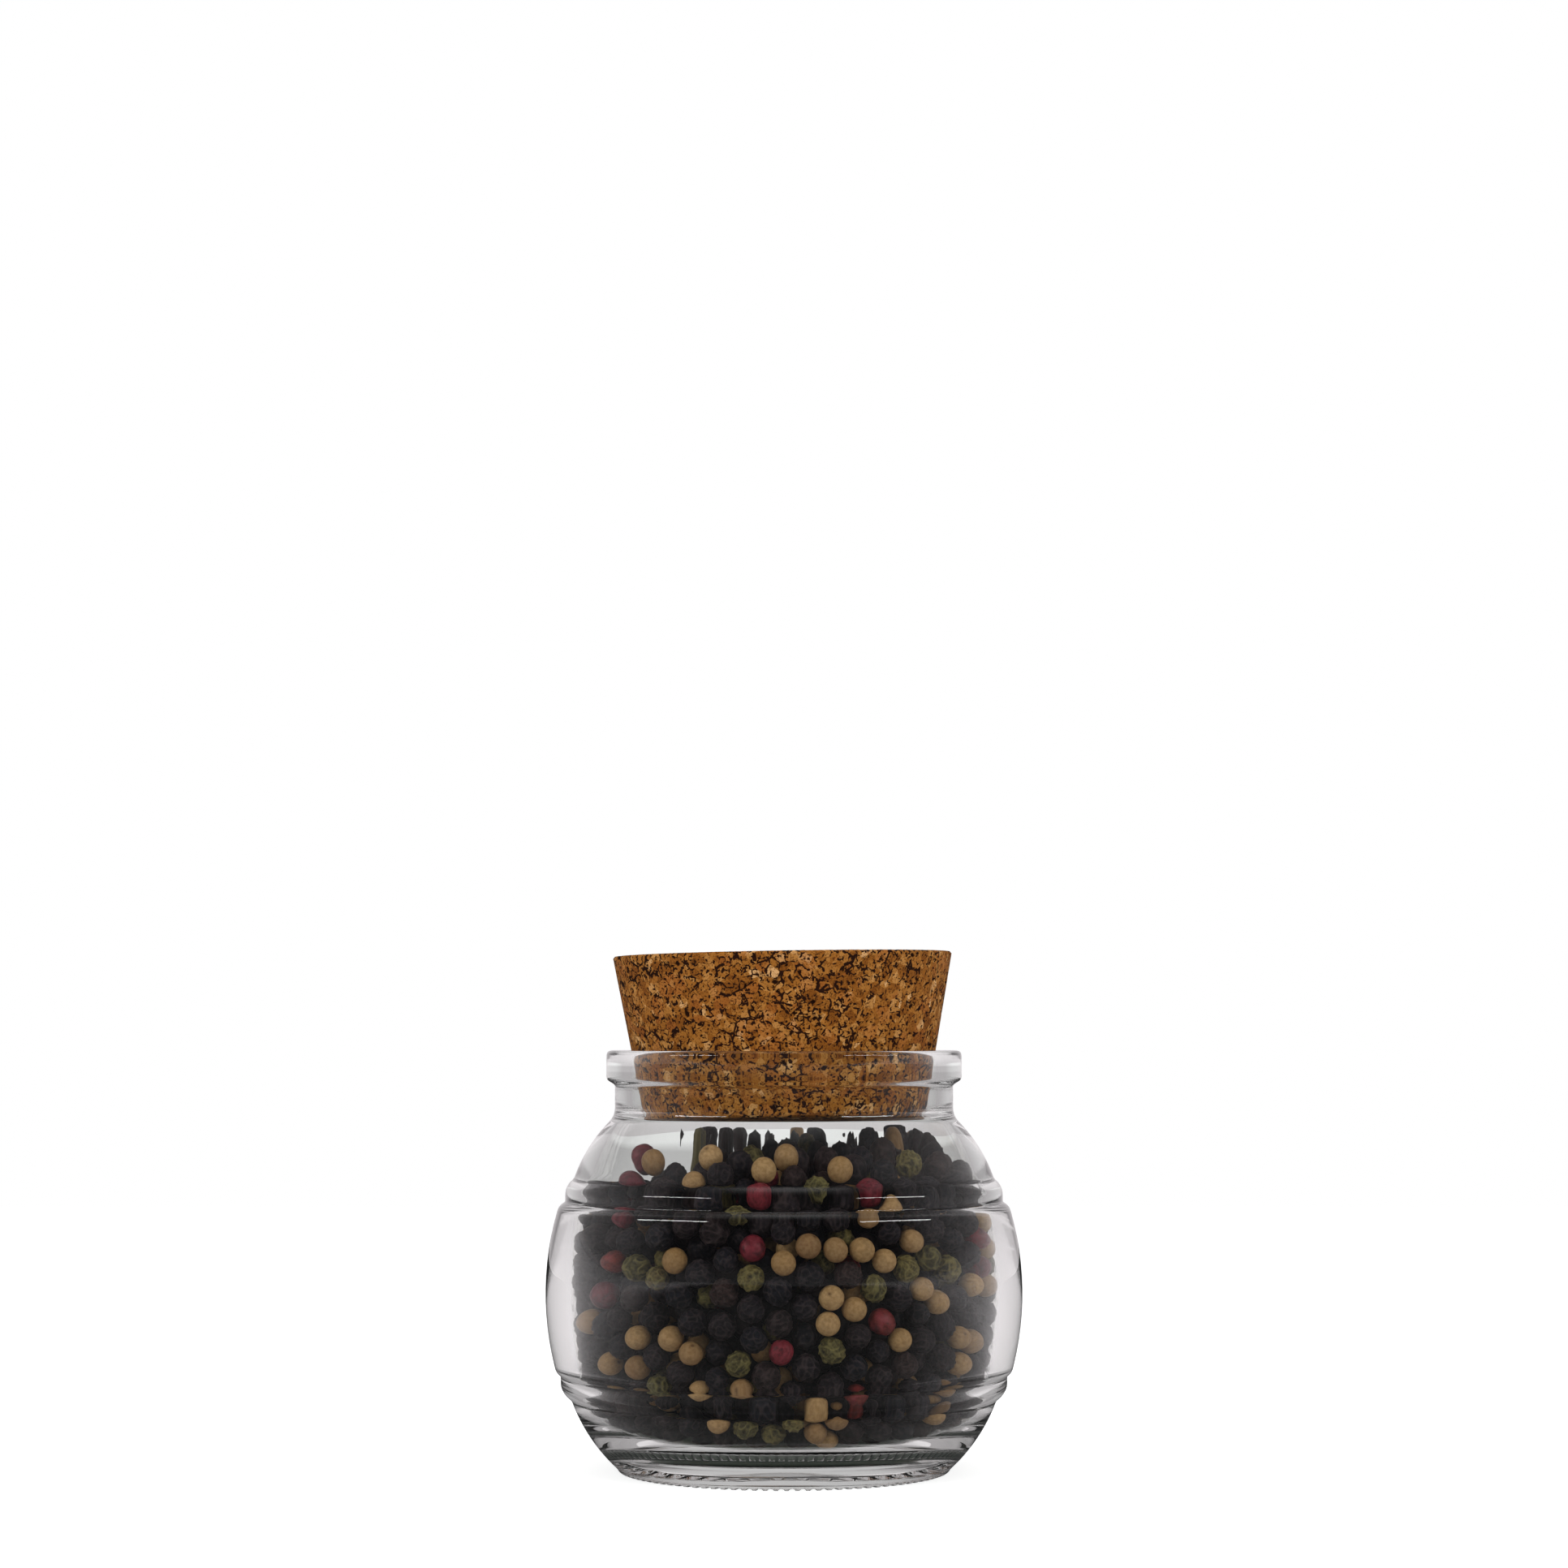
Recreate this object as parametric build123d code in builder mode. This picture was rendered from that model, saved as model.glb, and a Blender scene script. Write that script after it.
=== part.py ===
from build123d import *
import os
from math import asin, cos, pi, radians, sin, tan

import numpy as np
from scipy.spatial import cKDTree

os.makedirs("parts", exist_ok=True)

# A pot-bellied jar of clear pressed glass, closed by a tapered cork and filled with mixed peppercorns.
# Lengths are in millimetres and angles in degrees. The jar stands on z = 0 with its axis on Z,
# and the side that the photograph shows faces -Y.

# Glass, outside, from the table up: heights of the stretches, the widths of base, belly and neck,
# and how far in from the belly's widest line each band and corner lies
bearing_diameter = 54.6
bearing_corner = 0.6
bearing_corner_bulge = 0.12
heel_height = 12.0
heel_top_inset = 4.35
heel_bulge = 0.85
lower_band_height = 4.0
lower_band_inset = 2.6
belly_height = 28.7
belly_diameter = 80.0
belly_top_inset = 1.9
belly_foot_inset = 1.6
belly_corner = 1.3
belly_corner_bulge = 0.2
upper_band_height = 3.9
upper_band_inset = 3.2
band_corner = 2.3
band_corner_bulge = 0.3
shoulder_height = 11.5
shoulder_foot_inset = 4.65
shoulder_bulge = 0.62
neck_diameter = 57.0
neck_height = 4.2
neck_cove_height = 2.1
neck_cove_width = 1.1
neck_cove_depth = 0.2
bead_width = 1.45
bead_slope = 0.9
bead_height = 4.9
bead_round = 0.6
crease_round = 0.3
round_limit_share = 0.25

# Glass, inside: walls, base and lip
neck_wall = 2.8
shoulder_wall = 2.9
belly_wall = 4.0
heel_wall = 3.9
shoulder_inside_bulge = 0.45
floor_height = 5.2
floor_crown = 0.8
floor_corner_inset = 1.8
heel_inside_bulge = 1.9
lip_round = 0.8
push_up = 3.0
push_up_rim = 1.1

# Knurls moulded into the ring that the jar stands on
land_width = 0.9
knurl_width = 2.9
knurl_pitch = 1.74
knurl_depth = 0.38
knurl_radius = 0.55

# Cork
cork_height = 26.6
cork_taper = 10.5
cork_depth = 10.4
cork_lean = 0.95
cork_chamfer = 0.35
cork_clearance = 0.15

# Peppercorns: mean diameters, the free space between the cork and the heap, the low mounds on the
# heap, and the gap between grains
black_diameter = 4.9
green_diameter = 4.6
pink_diameter = 4.5
white_diameter = 4.05
headspace = 4.8
mound_height = 1.4
mound_pitch = 14.0
grain_clearance = 0.02

# How the heap lies, as shares and counts that hold at any size of jar
packing_share = 0.6
spread_share = 0.05
start_share = 0.7
grown_share = 0.5
sink_share = 0.002
push_share = 0.6
hold_share = 0.15
sinking_share = 0.8
holding_share = 0.97
front_share = 1.1
settle_steps = 600
wall_steps = 60
sight_steps = 4
kept_digits = 6
pour_number = 11
kinds = ("black", "white", "green", "pink")
kind_diameters = (black_diameter, white_diameter, green_diameter, pink_diameter)
mix_shares = (0.66, 0.17, 0.12, 0.05)

# The photograph, in its own pixels: the jar's axis, the eye's height and distance, the table and
# the belly's half width, and the middles of the grains that stand out from the black ones
axis_px = 965.5
eye_px = 1289
table_px = 1810
eye_distance_px = 4167
belly_px = 294
glass_index = 1.52
seen_white_px = (
    (799, 1431), (873, 1420), (940, 1446), (852, 1465), (831, 1563), (967, 1567),
    (1037, 1446), (1075, 1505), (1103, 1499), (995, 1545), (1033, 1550), (1068, 1547),
    (1095, 1558), (1122, 1538), (1021, 1600), (1138, 1599), (1206, 1596), (1226, 1604),
    (1224, 1530), (1226, 1558), (824, 1650), (852, 1669), (782, 1657), (783, 1688),
    (863, 1717), (915, 1710), (899, 1756), (745, 1687), (717, 1645), (1048, 1616),
    (1019, 1632), (1110, 1657), (1183, 1655), (1204, 1665), (1185, 1690), (1152, 1614),
    (1000, 1742), (997, 1763), (1025, 1748), (1018, 1775), (1168, 1720), (1158, 1748),
)
seen_green_px = (
    (910, 1502), (782, 1570), (805, 1585), (926, 1584), (1006, 1467), (1125, 1423),
    (1147, 1562), (1170, 1575), (1080, 1592), (1237, 1580), (911, 1680), (812, 1718),
    (927, 1760), (952, 1757), (1026, 1668), (975, 1750), (1118, 1573),
)
seen_pink_px = (
    (783, 1413), (771, 1467), (762, 1512), (752, 1567), (920, 1547), (934, 1475),
    (1076, 1474), (1212, 1550), (1214, 1575), (960, 1672), (1088, 1633), (1058, 1722),
    (735, 1610),
)

overrun = 1.0

# Heights of the outside, each stretch standing on the one below
heel_top = heel_height
lower_band_top = heel_top + lower_band_height
belly_top = lower_band_top + belly_height
upper_band_top = belly_top + upper_band_height
neck_foot = upper_band_top + shoulder_height
neck_top = neck_foot + neck_height
bead_foot = neck_top + bead_slope
rim = bead_foot + bead_height
belly_crest = (lower_band_top + belly_top) / 2

bearing_radius = bearing_diameter / 2
belly_radius = belly_diameter / 2
heel_radius = belly_radius - heel_top_inset
lower_band_radius = belly_radius - lower_band_inset
belly_foot_radius = belly_radius - belly_foot_inset
belly_top_radius = belly_radius - belly_top_inset
upper_band_radius = belly_radius - upper_band_inset
shoulder_radius = belly_radius - shoulder_foot_inset
neck_radius = neck_diameter / 2
bead_radius = neck_radius + bead_width
bore_radius = neck_radius - neck_wall
lip_radius = min(lip_round, neck_wall * round_limit_share)
bead_edge = min(bead_round, bead_height * round_limit_share)
neck_crease = min(crease_round, bead_slope * round_limit_share)
belly_crease = min(crease_round, belly_corner * round_limit_share)
band_crease = min(crease_round, band_corner * round_limit_share)
knurl_foot_radius = bearing_radius - knurl_width
land_radius = knurl_foot_radius - land_width

# The wall section: up the outside from the middle of the base, over the lip and down the inside
with BuildPart() as glass_jar:
    with BuildSketch(Plane.XZ) as wall_section:
        with BuildLine():
            dome_edge = (land_radius - push_up_rim, push_up_rim)
            push_up_dome = TangentArc((0, push_up), dome_edge, tangent=(1, 0))
            Line(dome_edge, (land_radius, 0))
            Line((land_radius, 0), (bearing_radius, 0))
            corner = SagittaArc(
                (bearing_radius, 0),
                (bearing_radius + bearing_corner, bearing_corner),
                -bearing_corner_bulge,
            )
            heel = SagittaArc(corner @ 1, (heel_radius, heel_top), -heel_bulge)
            lower_band = SagittaArc(
                heel @ 1, (lower_band_radius, heel_top + band_corner), -band_corner_bulge
            )
            Line(lower_band @ 1, (lower_band_radius, lower_band_top))
            belly_foot = SagittaArc(
                (lower_band_radius, lower_band_top),
                (belly_foot_radius, lower_band_top + belly_corner),
                -belly_corner_bulge,
            )
            belly = ThreePointArc(
                belly_foot @ 1,
                (belly_radius, belly_crest),
                (belly_top_radius, belly_top - belly_corner),
            )
            belly_shoulder = SagittaArc(
                belly @ 1, (upper_band_radius, belly_top), -belly_corner_bulge
            )
            Line(belly_shoulder @ 1, (upper_band_radius, upper_band_top - band_corner))
            upper_band = SagittaArc(
                (upper_band_radius, upper_band_top - band_corner),
                (shoulder_radius, upper_band_top),
                -band_corner_bulge,
            )
            shoulder = SagittaArc(
                upper_band @ 1,
                (neck_radius + neck_cove_width, neck_foot - neck_cove_height),
                -shoulder_bulge,
            )
            neck_cove = SagittaArc(shoulder @ 1, (neck_radius, neck_foot), neck_cove_depth)
            Line(neck_cove @ 1, (neck_radius, neck_top))
            Line((neck_radius, neck_top), (bead_radius, bead_foot))
            Line((bead_radius, bead_foot), (bead_radius, rim))
            Line((bead_radius, rim), (bore_radius, rim))
            Line((bore_radius, rim), (bore_radius, neck_foot))
            inside_shoulder = SagittaArc(
                (bore_radius, neck_foot),
                (upper_band_radius - shoulder_wall, belly_top + upper_band_height / 2),
                shoulder_inside_bulge,
            )
            inside_belly = ThreePointArc(
                inside_shoulder @ 1,
                (belly_radius - belly_wall, belly_crest),
                (lower_band_radius - heel_wall, heel_top + lower_band_height / 2),
            )
            inside_heel = SagittaArc(
                inside_belly @ 1,
                (bearing_radius - floor_corner_inset, floor_height),
                heel_inside_bulge,
            )
            inside_floor = TangentArc(
                (0, floor_height + floor_crown), inside_heel @ 1, tangent=(1, 0)
            )
            Line((0, floor_height + floor_crown), (0, push_up))
        make_face()
        for point, radius in (
            ((bead_radius, rim), bead_edge),
            ((bore_radius, rim), lip_radius),
            ((bead_radius, bead_foot), bead_edge),
            ((neck_radius, neck_top), neck_crease),
            ((upper_band_radius, belly_top), belly_crease),
            ((lower_band_radius, lower_band_top), belly_crease),
            ((heel_radius, heel_top), band_crease),
            ((shoulder_radius, upper_band_top), band_crease),
        ):
            fillet(wall_section.vertices().sort_by_distance(point)[0], radius)
    revolve(axis=Axis.Z)
    # Each groove of the knurling is the side of a bar that lies outward from the flat land
    groove_length = bearing_corner + knurl_width + overrun
    with Locations((0, 0, knurl_depth - knurl_radius)):
        with PolarLocations(
            knurl_foot_radius + groove_length / 2, round(pi * bearing_diameter / knurl_pitch)
        ):
            Cylinder(knurl_radius, groove_length, rotation=(0, 90, 0), mode=Mode.SUBTRACT)

glass_jar.part.label = "glass_jar"
export_step(glass_jar.part, "parts/glass_jar.step")

# The cork seats in the lip's round, and stands a little askew, as a hand pushes it in
seat_height = rim - lip_radius
seat_radius = bore_radius - cork_clearance
cork_axis = Plane((0, 0, seat_height)).rotated((0, -cork_lean, 0))
below_seat = cork_depth - (rim - seat_height)
above_seat = cork_height - below_seat
with BuildPart() as cork_stopper:
    with BuildSketch(cork_axis.offset(-below_seat)):
        Circle(seat_radius - below_seat * tan(radians(cork_taper)))
    with BuildSketch(cork_axis.offset(above_seat)):
        Circle(seat_radius + above_seat * tan(radians(cork_taper)))
    loft()
    chamfer(cork_stopper.edges().filter_by(GeomType.CIRCLE), cork_chamfer)

cork_stopper.part.label = "cork_stopper"
export_step(cork_stopper.part, "parts/cork_stopper.step")

# Mixed peppercorns, poured in and shaken down. All lengths from here to the grains themselves are
# in mean black peppercorns, so that the heap keeps its layout when all sizes change together.
fill_top = rim - cork_depth - headspace


def wall_inside():
    """Points down the cavity's wall and over its floor, each with the way that it faces."""
    points = [edge @ (step / wall_steps) for edge in side_edges for step in range(wall_steps)]
    points += [inside_floor @ (1 - step / wall_steps) for step in range(wall_steps + 1)]
    places = np.array([(point.X, point.Y) for point in points]) / black_diameter
    along = np.gradient(places, axis=0)
    facing = np.column_stack([along[:, 1], -along[:, 0]])
    facing /= np.linalg.norm(facing, axis=1)[:, None]
    return places.round(kept_digits), facing.round(kept_digits)


def place_seen(across_px, down_px, radius):
    """Where a grain that touches the glass lies, from where the photograph shows it through it."""
    scale = belly_radius / black_diameter / belly_px
    middles = wall + facing * radius
    height = (table_px - down_px) * scale
    for _ in range(sight_steps):
        row = np.argmin(np.abs(middles[:side_points, 1] - height))
        inner, out = wall[row, 0], middles[row, 0]
        outer = inner + belly_wall / black_diameter
        nearer = 1 - inner / scale / eye_distance_px
        aside = abs(across_px - axis_px) * scale * nearer
        height = (table_px - eye_px - (down_px - eye_px) * nearer) * scale
    aside = min(aside, inner)
    turn = asin(aside / outer) + asin(aside / inner / glass_index)
    turn += asin(min(1, aside / out)) - asin(aside / inner) - asin(aside / outer / glass_index)
    side = 1 if across_px > axis_px else -1
    return side * out * sin(turn), -out * cos(turn), height


def overlaps(middles, radii, reach):
    """Pairs of grains nearer than reach, the line between them and how far they overlap."""
    pairs = cKDTree(middles).query_pairs(reach, output_type="ndarray")
    first, second = pairs[:, 0], pairs[:, 1]
    line = middles[first] - middles[second]
    distance = np.linalg.norm(line, axis=1)
    return first, second, line, distance, radii[first] + radii[second] - distance


def from_glass(middles):
    """How far out each grain lies, how far from the glass, and which way the glass faces there."""
    out = np.hypot(middles[:, 0], middles[:, 1])
    section = np.column_stack([out, middles[:, 2]])
    near = cKDTree(wall).query(section)[1]
    return out, ((section - wall[near]) * facing[near]).sum(axis=1), facing[near]


def heap_top(middles):
    """How high the heap reaches above each grain, in low mounds."""
    waves = np.cos(middles[:, :2] * (2 * pi / mound_pitch * black_diameter)).mean(axis=1)
    return ceiling - mound * (1 - waves) / 2


def settle(middles, radii, held):
    """Let grains that start small grow, sink and push one another apart inside the glass."""
    count = len(radii)
    wanted = middles.copy()
    for step in range(settle_steps):
        ripe = step / settle_steps
        size = radii * min(1, start_share + (1 - start_share) * ripe / grown_share)
        first, second, line, distance, deep = overlaps(middles, size, 2 * radii.max())
        touching = deep > 0
        first, second = first[touching], second[touching]
        push = line[touching] * (deep[touching] / distance[touching] / 2)[:, None]
        for axis in range(3):
            middles[:, axis] += push_share * (
                np.bincount(first, push[:, axis], count) - np.bincount(second, push[:, axis], count)
            )
        if ripe < holding_share:
            middles[:held] += hold_share * (wanted - middles)[:held]
        if ripe < sinking_share:
            middles[held:, 2] -= sink_share
        out, inside, way = from_glass(middles)
        back = np.maximum(size - inside, 0)
        middles[:, :2] *= (1 + back * way[:, 0] / out)[:, None]
        middles[:, 2] = np.minimum(middles[:, 2] + back * way[:, 1], heap_top(middles) - size)
    return middles


side_edges = (inside_shoulder, inside_belly, inside_heel)
side_points = len(side_edges) * wall_steps
wall, facing = wall_inside()
ceiling = round(fill_top / black_diameter, kept_digits)
mound = round(mound_height / black_diameter, kept_digits)
level = ceiling - mound / 2
chance = np.random.default_rng(pour_number)
kind_radii = np.round(np.array(kind_diameters) / black_diameter, kept_digits) / 2
seen = [
    (kinds.index(kind), *place_seen(*place, kind_radii[kinds.index(kind)]))
    for kind, places in (("white", seen_white_px), ("green", seen_green_px), ("pink", seen_pink_px))
    for place in places
]
# The cavity's volume up to the top of the heap, by thin slices of the wall's points
sides = wall[:side_points]
below = sides[sides[:, 1] < level]
room = pi * np.sum(below[:-1, 0] ** 2 * -np.diff(below[:, 1]))
mean_volume = np.dot(mix_shares, kind_radii**3) * pi * 4 / 3
total = round(packing_share * room / mean_volume)
poured = total - len(seen)
kind_of = np.append([grain[0] for grain in seen], chance.choice(len(kinds), poured, p=mix_shares))
kind_of = kind_of.astype(int)
radii = kind_radii[kind_of] * (1 + spread_share * chance.uniform(-1, 1, total))
high = below[-1, 1] + 1 + chance.random(poured) * (level - below[-1, 1] - 2)
widest = np.interp(high, below[::-1, 1], below[::-1, 0]) - kind_radii.max()
out = widest * np.sqrt(chance.random(poured))
turned = 2 * pi * chance.random(poured)
middles = np.column_stack([out * np.cos(turned), out * np.sin(turned), high])
middles = np.vstack([np.array([grain[1:] for grain in seen]), middles])
middles = settle(middles, radii, len(seen))
# Where two still press into each other, both are trimmed until they just part
first, second, line, distance, deep = overlaps(middles, radii, 2 * radii.max())
fit = np.ones(total)
np.minimum.at(fit, first, distance / (radii[first] + radii[second]))
np.minimum.at(fit, second, distance / (radii[first] + radii[second]))
from_wall = from_glass(middles)[1]
radii = np.minimum(radii * fit, from_wall)
# Beside the glass at the front, only the grains that the photograph shows pale or red are so
front = (middles[:, 1] < 0) & (from_wall < front_share)
front[: len(seen)] = False
kind_of[front] = kinds.index("black")

places = middles * black_diameter
sizes = radii * black_diameter - grain_clearance / 2


def grains(kind):
    """The balls of one kind, in place."""
    chosen = kind_of == kinds.index(kind)
    return [Pos(*place) * Sphere(size) for place, size in zip(places[chosen], sizes[chosen])]


black_grains = grains("black")
with BuildPart() as black_peppercorns:
    add(black_grains)

black_peppercorns.part.label = "black_peppercorns"
export_step(black_peppercorns.part, "parts/black_peppercorns.step")

white_grains = grains("white")
with BuildPart() as white_peppercorns:
    add(white_grains)

white_peppercorns.part.label = "white_peppercorns"
export_step(white_peppercorns.part, "parts/white_peppercorns.step")

green_grains = grains("green")
with BuildPart() as green_peppercorns:
    add(green_grains)

green_peppercorns.part.label = "green_peppercorns"
export_step(green_peppercorns.part, "parts/green_peppercorns.step")

pink_grains = grains("pink")
with BuildPart() as pink_peppercorns:
    add(pink_grains)

pink_peppercorns.part.label = "pink_peppercorns"
export_step(pink_peppercorns.part, "parts/pink_peppercorns.step")
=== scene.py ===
from math import atan, cos, pi, radians, sin, sqrt

import bmesh
import bpy
import numpy as np
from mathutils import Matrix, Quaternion, Vector


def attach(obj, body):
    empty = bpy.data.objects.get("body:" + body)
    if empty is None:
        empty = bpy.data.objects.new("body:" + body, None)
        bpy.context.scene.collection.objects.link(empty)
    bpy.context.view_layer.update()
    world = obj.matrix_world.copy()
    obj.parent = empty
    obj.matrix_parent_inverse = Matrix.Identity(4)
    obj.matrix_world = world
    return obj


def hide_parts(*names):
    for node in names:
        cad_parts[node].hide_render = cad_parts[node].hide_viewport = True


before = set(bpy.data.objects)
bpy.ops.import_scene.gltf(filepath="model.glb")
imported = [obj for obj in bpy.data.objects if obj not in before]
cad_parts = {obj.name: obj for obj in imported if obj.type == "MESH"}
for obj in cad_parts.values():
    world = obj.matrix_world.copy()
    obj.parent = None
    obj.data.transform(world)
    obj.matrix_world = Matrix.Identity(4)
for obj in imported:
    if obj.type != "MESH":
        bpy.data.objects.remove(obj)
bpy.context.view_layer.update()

# Jar: one piece of clear soda-lime glass, pressed in an iron mould and fire finished. The mould
# leaves two hoops, a bead round the mouth and a knurled ring to stand on, and the fire rounds every
# edge. Its sizes are in millimetres, heights from the table up.
MM = 0.001
PUSH_UP = (0, 3.0)
LAND_INSIDE = 23.5
KNURL_INSIDE = 24.4
BEARING = (27.3, 0)
BORE = 25.7
RIM = 70.1
NECK_FOOT = 60.1
KNURLS = 99
KNURL_RADIUS = 0.55
KNURL_DEPTH = 0.38
TURN_STEPS = 6 * KNURLS
# The wall's waves: how deep, how many, their lobes to a turn and their turn for each millimetre of
# height, and where they die out towards the foot and the bead
OUTER_WAVE, INNER_WAVE = 0.03, 0.09
WAVES = 6
WAVE_LOBES = (2, 9)
WAVE_RISE = (0.05, 0.3)
EVEN_FOOT = 1.5
WAVE_FADE = 4
rng = np.random.default_rng(7)

# Each stretch of the wall's section: where it ends (radius, height), how far it bulges to the left
# of its way, its number of steps, and how far from its end the corner begins to round
section = (
    ((22.4, 1.1), 0.476, 8, 0.5),
    ((LAND_INSIDE, 0), 0, 2, 0.3),
    (BEARING, 0, 12, 0.2),
    ((27.9, 0.6), -0.12, 3, 0.3),
    ((35.65, 12.0), -0.85, 12, 0.5),
    ((37.4, 14.3), -0.3, 3, 0.5),
    ((37.4, 16.0), 0, 2, 0.35),
    ((38.4, 17.3), -0.2, 3, 0.3),
    ((38.1, 43.4), -1.75, 12, 0.3),
    ((36.8, 44.7), -0.2, 3, 0.35),
    ((36.8, 46.3), 0, 2, 0.5),
    ((35.35, 48.6), -0.3, 3, 0.5),
    ((29.6, 58.0), -0.62, 9, 0.6),
    ((28.5, 60.1), 0.2, 3, 0.5),
    ((28.5, 64.3), 0, 3, 0.35),
    ((29.95, 65.2), 0, 2, 0.5),
    ((29.95, RIM), 0, 4, 0.9),
    ((BORE, RIM), 0, 3, 0.7),
    ((BORE, NECK_FOOT), 0, 4, 1.5),
    ((33.9, 46.65), 0.45, 8, 0.4),
    ((33.5, 14.0), 2.3, 14, 0.4),
    ((25.5, 5.2), 1.9, 8, 0.4),
    ((0, 6.0), 0.2, 8, 0),
)
CORNER_STEPS = 3


def along(start, end, bulge, shares):
    """Points at these shares of the way along an arc, or along a line where the bulge is zero."""
    start, end = np.array(start, float), np.array(end, float)
    chord = end - start
    if bulge == 0:
        return start + shares[:, None] * chord
    length = np.hypot(*chord)
    way = chord / length
    left = np.array([-way[1], way[0]])
    half = 2 * atan(2 * bulge / length)
    radius = length / 2 / sin(half)
    turn = (2 * shares - 1) * half
    centre = (start + end) / 2 + left * (bulge - radius)
    return centre + radius * (np.sin(turn)[:, None] * way + np.cos(turn)[:, None] * left)


def wall_section():
    """The whole outline of the wall, with every corner rounded off."""
    points, start, cut = [], PUSH_UP, 0
    for end, bulge, steps, rounding in section:
        length = np.hypot(end[0] - start[0], end[1] - start[1])
        shares = np.linspace(cut / length, 1 - rounding / length, steps + 1)
        if points:
            # The corner is a parabola between the two stretches, with the corner as its handle
            here, ahead = points[-1][-1], along(start, end, bulge, shares[:1])[0]
            on = np.linspace(0, 1, CORNER_STEPS + 1)[1:-1, None]
            off = 1 - on
            points.append(off**2 * here + 2 * on * off * np.array(start) + on**2 * ahead)
        points.append(along(start, end, bulge, shares))
        start, cut = end, rounding
    return np.vstack(points)


def waves(turns, heights):
    """A gentle unevenness over turn and height, between 0 and 1, which closes after a full turn."""
    total = 0
    for _ in range(WAVES):
        lobes = rng.integers(*WAVE_LOBES)
        rise, shift = rng.uniform(*WAVE_RISE), rng.uniform(0, 2 * pi)
        total = total + np.cos(lobes * turns + rise * heights + shift)
    return (1 + total / WAVES) / 2


def add_mesh(name, points, faces, finish):
    """A smooth-shaded piece, from points in millimetres and faces with equal numbers of corners."""
    mesh = bpy.data.meshes.new(name)
    mesh.vertices.add(len(points))
    mesh.vertices.foreach_set("co", (np.asarray(points, np.float32) * MM).ravel())
    mesh.loops.add(faces.size)
    mesh.loops.foreach_set("vertex_index", faces.astype(np.int32).ravel())
    mesh.polygons.add(len(faces))
    mesh.polygons.foreach_set("loop_start", np.arange(0, faces.size, faces.shape[1], dtype=np.int32))
    mesh.update(calc_edges=True)
    mesh.validate()
    mesh.shade_smooth()
    mesh.materials.append(finish)
    piece = bpy.data.objects.new(name, mesh)
    bpy.context.scene.collection.objects.link(piece)
    return piece


def srgb(colour):
    """The linear values of an sRGB hex colour."""
    parts = [int(colour[at : at + 2], 16) / 255 for at in (1, 3, 5)]
    return *(c / 12.92 if c <= 0.04045 else ((c + 0.055) / 1.055) ** 2.4 for c in parts), 1


# Which sockets of a Mix node mix two colours: how much of the second one lies over the first
SHARE, UNDER, OVER, MIXED = 0, 6, 7, 2


def add_node(tree, kind, settings=None, links=None):
    """Adds a node. Settings are its properties and its sockets' values, or a colour ramp's stops."""
    made = tree.nodes.new(kind)
    for name, value in (settings or {}).items():
        if name == "stops":
            ramp = made.color_ramp.elements
            for _ in value[2:]:
                ramp.new(1)
            for stop, (at, colour) in zip(ramp, value):
                stop.position, stop.color = at, srgb(colour)
        elif isinstance(name, str) and hasattr(made, name):
            setattr(made, name, value)
        else:
            made.inputs[name].default_value = value
    for name, source in (links or {}).items():
        tree.links.new(source, made.inputs[name])
    return made


def new_material(name):
    """An empty material, and its node tree."""
    made = bpy.data.materials.new(name)
    made.use_nodes = True
    made.node_tree.nodes.clear()
    return made, made.node_tree


outline = wall_section()
turns = np.linspace(0, 2 * pi, TURN_STEPS, endpoint=False)
outer_count = int(np.argmin(np.hypot(outline[:, 0] - BORE, outline[:, 1] - RIM)))
radii = np.repeat(outline[:, 0][:, None], TURN_STEPS, axis=1)
heights = np.repeat(outline[:, 1][:, None], TURN_STEPS, axis=1)
all_turns = np.repeat(turns[None, :], len(outline), axis=0)
# The outside is a little uneven, inwards only, and the inside more so, outwards only
is_outside = (np.arange(len(outline)) < outer_count)[:, None]
above_base = np.clip((heights - EVEN_FOOT) / WAVE_FADE, 0, 1)
below_bead = np.clip((NECK_FOOT - heights) / WAVE_FADE, 0, 1)
ripple = above_base * below_bead * np.where(
    is_outside,
    -OUTER_WAVE * waves(all_turns, heights),
    INNER_WAVE * waves(all_turns, heights),
)
radii = radii + ripple
# Round bars cut the knurls into the ring that it stands on
aside = (all_turns * KNURLS / (2 * pi) + 0.5) % 1 - 0.5
aside = aside * 2 * pi / KNURLS * radii
groove = KNURL_DEPTH - KNURL_RADIUS + np.sqrt(np.maximum(KNURL_RADIUS**2 - aside**2, 0))
knurled = is_outside & (radii > KNURL_INSIDE) & (heights < KNURL_DEPTH)
heights = np.where(knurled, np.maximum(heights, groove), heights)
points = np.column_stack(
    [(radii * np.cos(all_turns)).ravel(), (radii * np.sin(all_turns)).ravel(), heights.ravel()]
)
row = np.arange(1, len(outline) - 2)[:, None] * TURN_STEPS
here = np.arange(TURN_STEPS)[None, :]
beside = (here + 1) % TURN_STEPS
quads = np.stack(
    [row + here, row + beside, row + TURN_STEPS + beside, row + TURN_STEPS + here], axis=-1
).reshape(-1, 4)

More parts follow.
